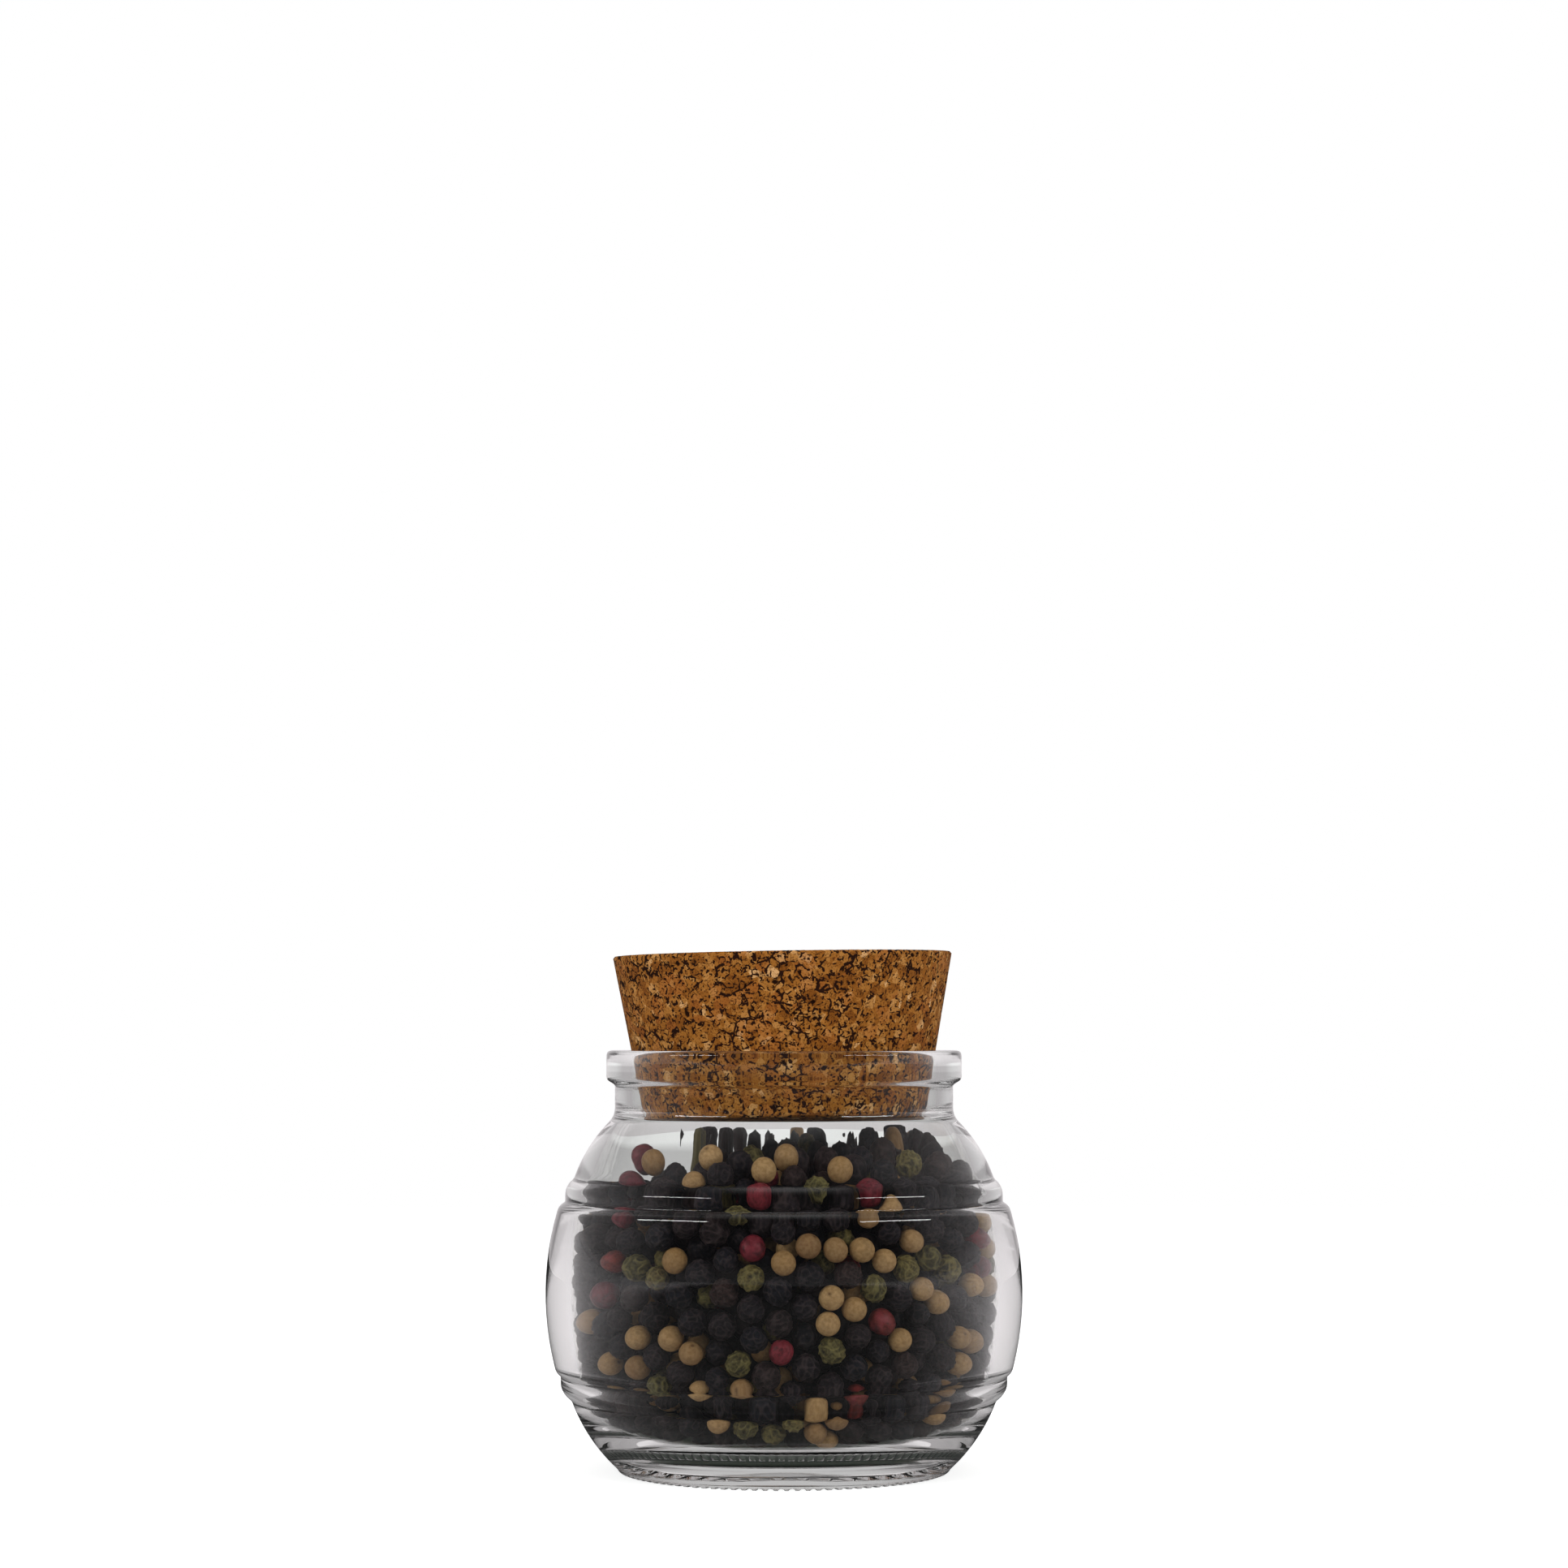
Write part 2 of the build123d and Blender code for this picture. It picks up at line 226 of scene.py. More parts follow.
# Soda-lime glass bends light by 1.52 and is clear to the eye, fire finished to a smooth gloss. Rays
# from lamps, and light that the contents scatter, pass it unbent and a little dimmed, so that what
# is inside is lit as evenly as the real jar's contents are.
GLASS_IOR = 1.52
GLASS_TINT = "#f9faf9"
GLASS_SHADE = "#f4f6f5"
glass, tree = new_material("soda_lime_glass_pressed")
clear = add_node(
    tree,
    "ShaderNodeBsdfPrincipled",
    {"Base Color": srgb(GLASS_TINT), "Roughness": 0, "IOR": GLASS_IOR, "Transmission Weight": 1},
)
open_way = add_node(tree, "ShaderNodeBsdfTransparent", {"Color": srgb(GLASS_SHADE)})
path = add_node(tree, "ShaderNodeLightPath")
past_shadow = add_node(
    tree,
    "ShaderNodeMixShader",
    links={0: path.outputs["Is Shadow Ray"], 1: clear.outputs[0], 2: open_way.outputs[0]},
)
past_diffuse = add_node(
    tree,
    "ShaderNodeMixShader",
    links={0: path.outputs["Is Diffuse Ray"], 1: past_shadow.outputs[0], 2: open_way.outputs[0]},
)
add_node(tree, "ShaderNodeOutputMaterial", links={"Surface": past_diffuse.outputs[0]})

jar = add_mesh("pressed_jar", points, quads, glass)
# The two rings round the axis close to a point each
surface = bmesh.new()
surface.from_mesh(jar.data)
bmesh.ops.delete(surface, geom=[v for v in surface.verts if not v.link_faces], context="VERTS")
rims = [e for e in surface.edges if e.is_boundary]
bmesh.ops.holes_fill(surface, edges=rims, sides=0)
bmesh.ops.recalc_face_normals(surface, faces=surface.faces)
surface.to_mesh(jar.data)
surface.free()
jar.data.shade_smooth()
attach(jar, "jar")
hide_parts("glass_jar")

# Peppercorns: whole dried berries, poured in loose and shaken down. The unripe black and green
# ones shrivel as they dry, the white ones are washed down to their smooth seed, and the pink
# ones are papery shells. Each fills the ball that holds its place in the heap.
# How finely a berry's ball is divided, and the most faces that one piece of the scene has
FINE, MEDIUM, COARSE = 5, 4, 3
PIECE_FACES = 190_000
PLACES = ("at_glass", "behind", "inside")
# Grains this near to the glass, and above the heel, get the finest mesh. Those a little further
# in, and those at the top of the heap, get the next one.
AT_GLASS, ON_SHOW = 1.3, 5
HEEL_TOP, HEAP_CROWN = 10, 50
# The most that a berry is flattened, as a share of its height
SQUEEZE = 0.06
# How far apart the ridges, folds, creases and dents lie, in millimetres, and how much finer the
# wrinkles between them are
NET_BLACK, NET_GREEN, CREASE_PINK = 1.5, 1.9, 3
DENTS_BLACK, DENTS_GREEN, DENTS_PINK, SWELL_WHITE = 6, 5, 5, 9
FINER_BLACK, FINER_GREEN = 2, 2.2
# How wide each ridge, fold, crease and scar is, as a share of its field
NET_LINE, FOLD_LINE, CREASE_LINE, SCAR_SIZE = 0.42, 0.5, 0.25, 0.16
# How many waves make up the field of a skin, and how far their fineness varies
STRANDS = 14
STRAND_SPREAD = (0.7, 1.2)


def balls_of(name):
    """The middle and the radius of each grain of a node, in millimetres."""
    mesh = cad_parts[name].data
    places = np.empty(len(mesh.vertices) * 3, np.float32)
    mesh.vertices.foreach_get("co", places)
    places = places.reshape(-1, 3) / MM
    ends = np.empty(len(mesh.edges) * 2, np.int32)
    mesh.edges.foreach_get("vertices", ends)
    first, second = ends.reshape(-1, 2).T
    # Every corner takes the lowest number that its neighbours have, until a grain has one number
    label = np.arange(len(places))
    settled = False
    while not settled:
        low = np.minimum(label[first], label[second])
        spread = label.copy()
        np.minimum.at(spread, first, low)
        np.minimum.at(spread, second, low)
        spread = spread[spread]
        settled = (spread == label).all()
        label = spread
    order = np.argsort(label, kind="stable")
    starts = np.flatnonzero(np.diff(label[order], prepend=-1))
    lowest = np.minimum.reduceat(places[order], starts)
    highest = np.maximum.reduceat(places[order], starts)
    middles, radii = (lowest + highest) / 2, (highest - lowest).max(axis=1) / 2
    order = np.lexsort(middles.round(1).T)
    return middles[order], radii[order]


def unit_ball(level):
    """The corners and the triangles of an evenly divided ball."""
    ball = bmesh.new()
    bmesh.ops.create_icosphere(ball, subdivisions=level, radius=1)
    corners = np.array([v.co for v in ball.verts])
    triangles = np.array([[v.index for v in f.verts] for f in ball.faces])
    ball.free()
    return corners, triangles


def skin_field(directions, radius, spacing):
    """For each grain, a smooth random field over its skin, about as far from zero as 1."""
    ways = rng.normal(size=(STRANDS, 3))
    ways /= np.linalg.norm(ways, axis=1)[:, None]
    ways *= (2 * pi * radius / spacing * rng.uniform(*STRAND_SPREAD, STRANDS))[:, None]
    shifts = rng.uniform(0, 2 * pi, (len(directions), 1, STRANDS))
    return np.cos(directions @ ways.T + shifts).sum(axis=2) * sqrt(2 / STRANDS)


def black_skin(directions, radius):
    """A net of ridges with sunken meshes between, as on a berry dried in the sun."""
    mesh_floor, ridge, wrinkle, dent = 0.88, 0.09, 0.015, 0.03
    net = np.exp(-((skin_field(directions, radius, NET_BLACK) / NET_LINE) ** 2))
    fine = skin_field(directions, radius, NET_BLACK / FINER_BLACK)
    dents = np.clip(skin_field(directions, radius, DENTS_BLACK), -1, 1)
    return mesh_floor + ridge * net - wrinkle * np.abs(fine) + dent * dents, net


def green_skin(directions, radius):
    """Soft folds with hollow spots between them, as on a berry dried while green."""
    hollow, fold, wrinkle, dent = 0.87, 0.09, 0.02, 0.04
    folds = np.exp(-((skin_field(directions, radius, NET_GREEN) / FOLD_LINE) ** 2))
    fine = skin_field(directions, radius, NET_GREEN / FINER_GREEN)
    dents = np.clip(skin_field(directions, radius, DENTS_GREEN), -1, 1)
    return hollow + fold * folds - wrinkle * np.abs(fine) + dent * dents, folds


def white_skin(directions, radius):
    """A bare seed, nearly round, with a small dark stem scar."""
    seed, bulge, pit = 0.985, 0.012, 0.06
    swell = np.clip(skin_field(directions, radius, SWELL_WHITE), -1, 1)
    scar = np.exp(-((np.arccos(np.clip(directions[..., 2], -1, 1)) / SCAR_SIZE) ** 2))
    return seed + bulge * swell - pit * scar, scar


def pink_skin(directions, radius):
    """A thin papery shell with a few creases."""
    shell, sunk, dent = 0.93, 0.05, 0.06
    crease = np.exp(-((skin_field(directions, radius, CREASE_PINK) / CREASE_LINE) ** 2))
    dents = np.clip(skin_field(directions, radius, DENTS_PINK), -1, 1)
    return shell - sunk * crease + dent * dents, crease


def add_grains(node, name, levels, skin, finish):
    """The grains of one node, most detailed beside the glass, in pieces of a workable size."""
    middles, radii = balls_of(node)
    out = np.hypot(middles[:, 0], middles[:, 1])
    inside = outline[outer_count:]
    gaps = np.hypot(out[:, None] - inside[:, 0], middles[:, 2:] - inside[:, 1]).min(axis=1) - radii
    at_glass = (gaps < AT_GLASS) & (middles[:, 2] > HEEL_TOP)
    on_show = (gaps < ON_SHOW) | (middles[:, 2] + radii > HEAP_CROWN)
    depth = np.where(at_glass, 0, np.where(on_show, 1, 2))
    for place, level in zip(PLACES, levels):
        chosen = np.flatnonzero(depth == PLACES.index(place))
        if not len(chosen):
            continue
        corners, triangles = unit_ball(level)
        share = max(1, PIECE_FACES // len(triangles))
        for number, first in enumerate(range(0, len(chosen), share), 1):
            some = chosen[first : first + share]
            spins = np.linalg.qr(rng.normal(size=(len(some), 3, 3)))[0]
            turned = corners[None] @ spins
            height, relief = skin(turned, radii[some].mean())
            squeeze = 1 - SQUEEZE * rng.random((len(some), 1, 1)) * turned[..., 2:] ** 2
            shaped = corners[None] * height[..., None] * squeeze * radii[some][:, None, None]
            points = (middles[some][:, None] + shaped).reshape(-1, 3)
            firsts = np.arange(len(some))[:, None, None] * len(corners)
            faces = (triangles[None] + firsts).reshape(-1, 3)
            piece = add_mesh(f"{name}_{place}_{number}", points, faces, finish)
            tone = piece.data.attributes.new("relief", "FLOAT", "POINT")
            tone.data.foreach_set("value", relief.astype(np.float32).ravel())
            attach(piece, "jar")
            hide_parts(node)


def pepper_finish(name, shades, raised, blotch, grit, roughness, gloss):
    """A dried skin. Each berry has its own shade, with blotches, a fine grit and a raised net.

    raised and blotch are each a colour and its share, and blotch and grit have a size in millimetres.
    """
    raised_colour, raised_share = raised
    blotch_colour, blotch_share, blotch_size = blotch
    grit_size, grit_colour = grit
    finish, tree = new_material(name)
    island = add_node(tree, "ShaderNodeNewGeometry").outputs["Random Per Island"]
    stops = [(at / (len(shades) - 1), shade) for at, shade in enumerate(shades)]
    shade = add_node(tree, "ShaderNodeValToRGB", {"stops": stops}, {0: island}).outputs[0]
    place = add_node(tree, "ShaderNodeTexCoord").outputs["Object"]
    cloud = add_node(
        tree,
        "ShaderNodeTexNoise",
        {"Scale": 1 / (blotch_size * MM), "Detail": 3.0, "Roughness": 0.6},
        {"Vector": place},
    ).outputs["Fac"]
    cover = add_node(
        tree,
        "ShaderNodeMapRange",
        {"From Min": 0.5, "From Max": 0.66, "To Min": 0.0, "To Max": blotch_share},
        {"Value": cloud},
    ).outputs[0]
    blotched = add_node(
        tree,
        "ShaderNodeMix",
        {"data_type": "RGBA", OVER: srgb(blotch_colour)},
        {SHARE: cover, UNDER: shade},
    ).outputs[MIXED]
    grains = add_node(
        tree,
        "ShaderNodeTexNoise",
        {"Scale": 1 / (grit_size * MM), "Detail": 2.0, "Roughness": 0.5},
        {"Vector": place},
    ).outputs["Fac"]
    dull = add_node(
        tree, "ShaderNodeValToRGB", {"stops": ((0.35, grit_colour), (0.62, "#ffffff"))}, {0: grains}
    ).outputs[0]
    gritty = add_node(
        tree,
        "ShaderNodeMix",
        {"data_type": "RGBA", "blend_type": "MULTIPLY", SHARE: 1.0},
        {UNDER: blotched, OVER: dull},
    ).outputs[MIXED]
    relief = add_node(tree, "ShaderNodeAttribute", {"attribute_name": "relief"}).outputs["Fac"]
    share = add_node(
        tree, "ShaderNodeMath", {"operation": "MULTIPLY", 1: raised_share}, {0: relief}
    ).outputs[0]
    netted = add_node(
        tree,
        "ShaderNodeMix",
        {"data_type": "RGBA", OVER: srgb(raised_colour)},
        {SHARE: share, UNDER: gritty},
    ).outputs[MIXED]
    bump = add_node(
        tree, "ShaderNodeBump", {"Strength": 0.5, "Distance": 0.05 * MM}, {"Height": grains}
    ).outputs[0]
    skin = add_node(
        tree,
        "ShaderNodeBsdfPrincipled",
        {"Roughness": roughness, "IOR": 1.45, "Specular IOR Level": gloss},
        {"Base Color": netted, "Normal": bump},
    )
    add_node(tree, "ShaderNodeOutputMaterial", links={"Surface": skin.outputs[0]})
    return finish


# Picked unripe and dried in the sun: a dull net of brown-black ridges with darker meshes. The ridges'
# lighter colour is partly their own and partly a painted highlight along them.
black = pepper_finish(
    "black_pepper_sun_dried",
    ("#0c0c12", "#15121a", "#20171a", "#10121b", "#2e1f1d", "#140f13"),
    raised=("#463938", 0.36),
    blotch=("#070506", 0.6, 1.3),
    grit=(0.4, "#9c9696"),
    roughness=0.65,
    gloss=0.2,
)
# Soaked until the skin washes off: the bare seed, smooth and matt, with its stem scar
white = pepper_finish(
    "white_pepper_washed_seed",
    ("#8e6e48", "#a08058", "#84643f", "#967650", "#76583a", "#a6855c"),
    raised=("#3c2413", 0.9),
    blotch=("#7f6443", 0.5, 1.6),
    grit=(0.5, "#e2dcd4"),
    roughness=0.55,
    gloss=0.25,
)
# Dried in warm air while still green: olive folds with dark spots where the skin sank
green = pepper_finish(
    "green_pepper_air_dried",
    ("#4b4427", "#5a5130", "#423a20", "#63562f", "#4d3f27", "#524c2b"),
    raised=("#786d42", 0.45),
    blotch=("#1b1811", 0.85, 1.1),
    grit=(0.4, "#a8a694"),
    roughness=0.65,
    gloss=0.25,
)
# The dried fruit of the pepper tree: a thin crimson shell, brittle and creased
pink = pepper_finish(
    "pink_pepper_papery_shell",
    ("#55131f", "#681929", "#430e19", "#731f29", "#571420", "#6f2d1e"),
    raised=("#83313b", 0.4),
    blotch=("#2c0810", 0.7, 1.5),
    grit=(0.4, "#c4b4b4"),
    roughness=0.45,
    gloss=0.35,
)
add_grains("black_peppercorns", "black_pepper", (FINE, MEDIUM, COARSE), black_skin, black)
add_grains("white_peppercorns", "white_pepper", (MEDIUM, MEDIUM, COARSE), white_skin, white)
add_grains("green_peppercorns", "green_pepper", (FINE, MEDIUM, COARSE), green_skin, green)
add_grains("pink_peppercorns", "pink_pepper", (MEDIUM, MEDIUM, COARSE), pink_skin, pink)

# Cork stopper: granules of cork bark, ground, glued and pressed into a block, then turned to a
# taper. Pits are left where granules tore out, and it is pushed into the mouth a little askew. Its
# sizes are in millimetres.
CORK_HEIGHT = 26.6
CORK_BELOW = 9.7
CORK_SEAT = 69.4
CORK_FOOT_RADIUS = 23.752
CORK_TOP_RADIUS = 28.682
CORK_CHAMFER = 0.35
CORK_LEAN = radians(-0.95)
CORK_TURN_STEPS = 560
CORK_FOOT_STEPS, CORK_SIDE_STEPS, CORK_TOP_STEPS = 30, 88, 50
CORK_MIDDLE = 0.4
# The granules and the chips, and how wide the gaps at their joints are. A gap runs on for a share of
# the granule, and its soft edge is a share of the gap.
GRANULE, GRANULE_CRACK = 2.1, 0.17
CHIP, CHIP_CRACK = 1.1, 0.13
GAP_RUN_SHARE, GAP_EDGE_SHARE = 0.55, 0.25
# The pores, the patches in which gaps gather, and how rough a joint is and how far that shifts it
PORE = 0.6
PATCH = 5.0
RAGGED, RAGGED_SHIFT = 0.8, 0.35
CORK_GRIT = 0.3
# The pits: their number, how far each reaches, its share of the full depth, and how long it is drawn
PITS = 900
PIT_REACH = (0.2, 0.5)
PIT_SHARE = (0.3, 1)
PIT_STRETCH = 0.7
PIT_DEPTH, GRIT_DEPTH = 0.5, 0.03

steps = np.linspace(0, 1, CORK_SIDE_STEPS)[:, None]
taper = (CORK_TOP_RADIUS - CORK_FOOT_RADIUS) / CORK_HEIGHT
foot = np.array([CORK_FOOT_RADIUS + CORK_CHAMFER * taper, CORK_CHAMFER])
top = np.array([CORK_TOP_RADIUS - CORK_CHAMFER * taper, CORK_HEIGHT - CORK_CHAMFER])
foot_radii = np.linspace(CORK_MIDDLE, CORK_FOOT_RADIUS - CORK_CHAMFER, CORK_FOOT_STEPS)
top_radii = np.linspace(CORK_TOP_RADIUS - CORK_CHAMFER, CORK_MIDDLE, CORK_TOP_STEPS)
side = np.vstack(
    [
        np.column_stack([foot_radii, np.zeros(len(foot_radii))]),
        foot + steps * (top - foot),
        np.column_stack([top_radii, np.full(len(top_radii), CORK_HEIGHT)]),
    ]
)
turns = np.linspace(0, 2 * pi, CORK_TURN_STEPS, endpoint=False)
radii = np.repeat(side[:, 0][:, None], CORK_TURN_STEPS, axis=1)
heights = np.repeat(side[:, 1][:, None], CORK_TURN_STEPS, axis=1)
points = np.stack([radii * np.cos(turns), radii * np.sin(turns), heights], axis=-1).reshape(-1, 3)
way = np.gradient(side, axis=0)
facing = np.column_stack([way[:, 1], -way[:, 0]])
facing /= np.linalg.norm(facing, axis=1)[:, None]
outward = np.stack(
    [
        facing[:, 0][:, None] * np.cos(turns),
        facing[:, 0][:, None] * np.sin(turns),
        np.repeat(facing[:, 1][:, None], CORK_TURN_STEPS, axis=1),
    ],
    axis=-1,
).reshape(-1, 3)
# Each pit is an oval dent in whatever stretch of the surface lies inside its reach
pit = np.zeros(len(points))
weights = np.repeat(side[:, 0], CORK_TURN_STEPS)
for middle in rng.choice(len(points), PITS, p=weights / weights.sum()):
    reach = rng.uniform(*PIT_REACH)
    near = np.flatnonzero(np.abs(points - points[middle]).max(axis=1) < 2 * reach)
    offset = points[near] - points[middle]
    stretch = rng.normal(size=3)
    stretch /= np.linalg.norm(stretch)
    lengthwise = offset @ stretch
    distance = np.sqrt(np.maximum((offset**2).sum(axis=1) - PIT_STRETCH * lengthwise**2, 0)) / reach
    pit[near] = np.maximum(pit[near], np.clip(1 - distance**2, 0, 1) * rng.uniform(*PIT_SHARE))
grain = GRIT_DEPTH * rng.random(len(points))
points = points - outward * (PIT_DEPTH * pit + grain)[:, None]
row = np.arange(len(side) - 1)[:, None] * CORK_TURN_STEPS
here = np.arange(CORK_TURN_STEPS)[None, :]
beside = (here + 1) % CORK_TURN_STEPS
quads = np.stack(
    [row + here, row + beside, row + CORK_TURN_STEPS + beside, row + CORK_TURN_STEPS + here], axis=-1
).reshape(-1, 4)
lean = np.array(
    [[cos(CORK_LEAN), 0, sin(CORK_LEAN)], [0, 1, 0], [-sin(CORK_LEAN), 0, cos(CORK_LEAN)]]
)
points = (points - [0, 0, CORK_BELOW]) @ lean.T + [0, 0, CORK_SEAT]

cork, tree = new_material("cork_agglomerate_turned")
place = add_node(tree, "ShaderNodeTexCoord").outputs["Object"]
# The granules are ragged, as the mill tears them: a noise pushes their joints about
ragged = add_node(
    tree,
    "ShaderNodeTexNoise",
    {"Scale": 1 / (RAGGED * MM), "Detail": 2.0, "Roughness": 0.6},
    {"Vector": place},
).outputs["Color"]
ragged = add_node(
    tree,
    "ShaderNodeVectorMath",
    {"operation": "MULTIPLY_ADD", 1: (RAGGED_SHIFT * MM,) * 3},
    {0: ragged, 2: place},
).outputs[0]
# The gaps gather in patches, and other patches are closed
patches = add_node(
    tree, "ShaderNodeTexNoise", {"Scale": 1 / (PATCH * MM), "Detail": 2.0}, {"Vector": place}
).outputs["Fac"]
patches = add_node(
    tree,
    "ShaderNodeMapRange",
    {"From Min": 0.38, "From Max": 0.6, "To Min": -0.06, "To Max": 0.045},
    {"Value": patches},
).outputs[0]
tones, cracks = [], []
for size, width in ((GRANULE, GRANULE_CRACK), (CHIP, CHIP_CRACK)):
    cells = add_node(
        tree, "ShaderNodeTexVoronoi", {"Scale": 1 / (size * MM)}, {"Vector": ragged}
    ).outputs["Color"]
    tones.append(add_node(tree, "ShaderNodeSeparateColor", links={0: cells}).outputs)
    edge = add_node(
        tree,
        "ShaderNodeTexVoronoi",
        {"feature": "DISTANCE_TO_EDGE", "Scale": 1 / (size * MM)},
        {"Vector": ragged},
    ).outputs["Distance"]
    # A gap opens only here and there along the joints, where the noise is high
    open_here = add_node(
        tree,
        "ShaderNodeTexNoise",
        {"Scale": 1 / (GAP_RUN_SHARE * size * MM), "Detail": 1.0},
        {"Vector": place},
    ).outputs["Fac"]
    open_here = add_node(
        tree, "ShaderNodeMath", {"operation": "ADD"}, {0: open_here, 1: patches}
    ).outputs[0]
    reach = add_node(
        tree,
        "ShaderNodeMapRange",
        {"From Min": 0.5, "From Max": 0.62, "To Min": 0.0, "To Max": width / size},
        {"Value": open_here},
    ).outputs[0]
    deep = add_node(
        tree, "ShaderNodeMath", {"operation": "SUBTRACT"}, {0: reach, 1: edge}
    ).outputs[0]
    crack = add_node(
        tree,
        "ShaderNodeMapRange",
        {"From Min": 0.0, "From Max": GAP_EDGE_SHARE * width / size, "To Max": 1.0},
        {"Value": deep},
    ).outputs[0]
    cracks.append(crack)
tone = add_node(
    tree, "ShaderNodeMix", {0: 0.5}, {2: tones[0]["Red"], 3: tones[1]["Red"]}
).outputs[0]
bark = add_node(
    tree,
    "ShaderNodeValToRGB",
    {
        "stops": (
            (0.1, "#744210"),
            (0.3, "#844f18"),
            (0.5, "#935d22"),
            (0.68, "#a06b30"),
            (0.82, "#af7c42"),
            (0.95, "#c49663"),
        ),
    },
    {0: tone},
).outputs[0]
# Every fifth granule or so is redder
red = add_node(
    tree,
    "ShaderNodeMapRange",
    {"From Min": 0.78, "From Max": 0.8, "To Min": 0.0, "To Max": 0.4},
    {"Value": tones[0]["Green"]},
).outputs[0]
bark = add_node(
    tree, "ShaderNodeMix", {"data_type": "RGBA", OVER: srgb("#945422")}, {SHARE: red, UNDER: bark}
).outputs[MIXED]
fine = add_node(
    tree,
    "ShaderNodeTexNoise",
    {"Scale": 1 / (CORK_GRIT * MM), "Detail": 2.0, "Roughness": 0.6},
    {"Vector": place},
).outputs["Fac"]
dull = add_node(
    tree, "ShaderNodeValToRGB", {"stops": ((0.34, "#a39684"), (0.5, "#ffffff"))}, {0: fine}
).outputs[0]
bark = add_node(
    tree,
    "ShaderNodeMix",
    {"data_type": "RGBA", "blend_type": "MULTIPLY", SHARE: 1.0},
    {UNDER: bark, OVER: dull},
).outputs[MIXED]
pores = add_node(
    tree, "ShaderNodeTexVoronoi", {"Scale": 1 / (PORE * MM)}, {"Vector": ragged}
).outputs
chosen = add_node(tree, "ShaderNodeSeparateColor", links={0: pores["Color"]}).outputs["Red"]
chosen = add_node(
    tree, "ShaderNodeMapRange", {"From Min": 0.88, "From Max": 0.9}, {"Value": chosen}
).outputs[0]
middle = add_node(
    tree, "ShaderNodeMapRange", {"From Min": 0.45, "From Max": 0.3}, {"Value": pores["Distance"]}
).outputs[0]
pore = add_node(
    tree, "ShaderNodeMath", {"operation": "MULTIPLY"}, {0: chosen, 1: middle}
).outputs[0]
# Each pit is darkened as deep as it is: painted shade in the dents
pit_shade = add_node(tree, "ShaderNodeAttribute", {"attribute_name": "pit"}).outputs["Fac"]
pit_shade = add_node(
    tree, "ShaderNodeMapRange", {"From Min": 0.25, "From Max": 0.5}, {"Value": pit_shade}
).outputs[0]
dark = cracks[0]
for more in (cracks[1], pore, pit_shade):
    dark = add_node(tree, "ShaderNodeMath", {"operation": "MAXIMUM"}, {0: dark, 1: more}).outputs[0]
# Gaps and pores are painted near black as dark openings, and the pits as painted shade in their dents
bark = add_node(
    tree, "ShaderNodeMix", {"data_type": "RGBA", OVER: srgb("#230c02")}, {SHARE: dark, UNDER: bark}
).outputs[MIXED]
bump = add_node(
    tree,
    "ShaderNodeBump",
    {"Strength": 0.8, "Distance": 0.15 * MM, "invert": True},
    {"Height": dark},
).outputs[0]
bump = add_node(
    tree,
    "ShaderNodeBump",
    {"Strength": 0.5, "Distance": 0.05 * MM},
    {"Height": fine, "Normal": bump},
).outputs[0]
surface = add_node(
    tree,
    "ShaderNodeBsdfPrincipled",
    {"Roughness": 0.9, "IOR": 1.45, "Specular IOR Level": 0.2},
    {"Base Color": bark, "Normal": bump},
)
add_node(tree, "ShaderNodeOutputMaterial", links={"Surface": surface.outputs[0]})

stopper = add_mesh("turned_cork", points, quads, cork)
hollows = stopper.data.attributes.new("pit", "FLOAT", "POINT")
hollows.data.foreach_set("value", pit.astype(np.float32))
shell = bmesh.new()
shell.from_mesh(stopper.data)
bmesh.ops.holes_fill(shell, edges=[e for e in shell.edges if e.is_boundary], sides=0)
shell.to_mesh(stopper.data)
shell.free()
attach(stopper, "stopper")
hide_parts("cork_stopper")

# Studio: a white table and a white wall behind it. The room in front is kept dark, so that the
# glass mirrors little. Two broad soft lamps stand left and right of the camera, each with a thin
# strip lamp beside it.
scene = bpy.context.scene
scene.view_settings.view_transform = "Standard"
# Light crosses the wall of the jar many times before it comes out at the corners
scene.cycles.glossy_bounces = 16
scene.cycles.max_bounces = 24

world = bpy.data.worlds.new("photo_room")
scene.world = world
world.use_nodes = True
tree = world.node_tree
tree.nodes.clear()
way = add_node(tree, "ShaderNodeTexCoord").outputs["Generated"]
way = add_node(tree, "ShaderNodeSeparateXYZ", links={0: way}).outputs
up = add_node(tree, "ShaderNodeMapRange", {"From Min": -1.0}, {"Value": way["Z"]}).outputs[0]
back = add_node(tree, "ShaderNodeMapRange", {"From Min": -1.0}, {"Value": way["Y"]}).outputs[0]
# What the outside of the glass mirrors, from the table's edge up to the ceiling
mirrored = add_node(
    tree,
    "ShaderNodeValToRGB",
    {"stops": ((0.5, "#2e2e30"), (0.9, "#28282a"), (0.97, "#7c7c7c"), (1, "#f0f0f0"))},
    {0: up},
).outputs[0]
# At its very sides the glass mirrors the white wall behind it
grazing = add_node(
    tree, "ShaderNodeMapRange", {"From Min": 0.6, "From Max": 0.95}, {"Value": way["Y"]}
).outputs[0]
mirrored = add_node(
    tree,
    "ShaderNodeMix",
    {"data_type": "RGBA", OVER: srgb("#e4dfe1")},
    {SHARE: grazing, UNDER: mirrored},
).outputs[MIXED]
# What shows through the glass, from the front of the room to the white wall behind
behind = add_node(
    tree,
    "ShaderNodeValToRGB",
    {
        "stops": (
            (0, "#a09ea0"), (0.35, "#b4b2b4"), (0.6, "#d2cdcf"), (0.9, "#dcd7d9"), (0.96, "#ffffff")
        ),
    },
    {0: back},
).outputs[0]
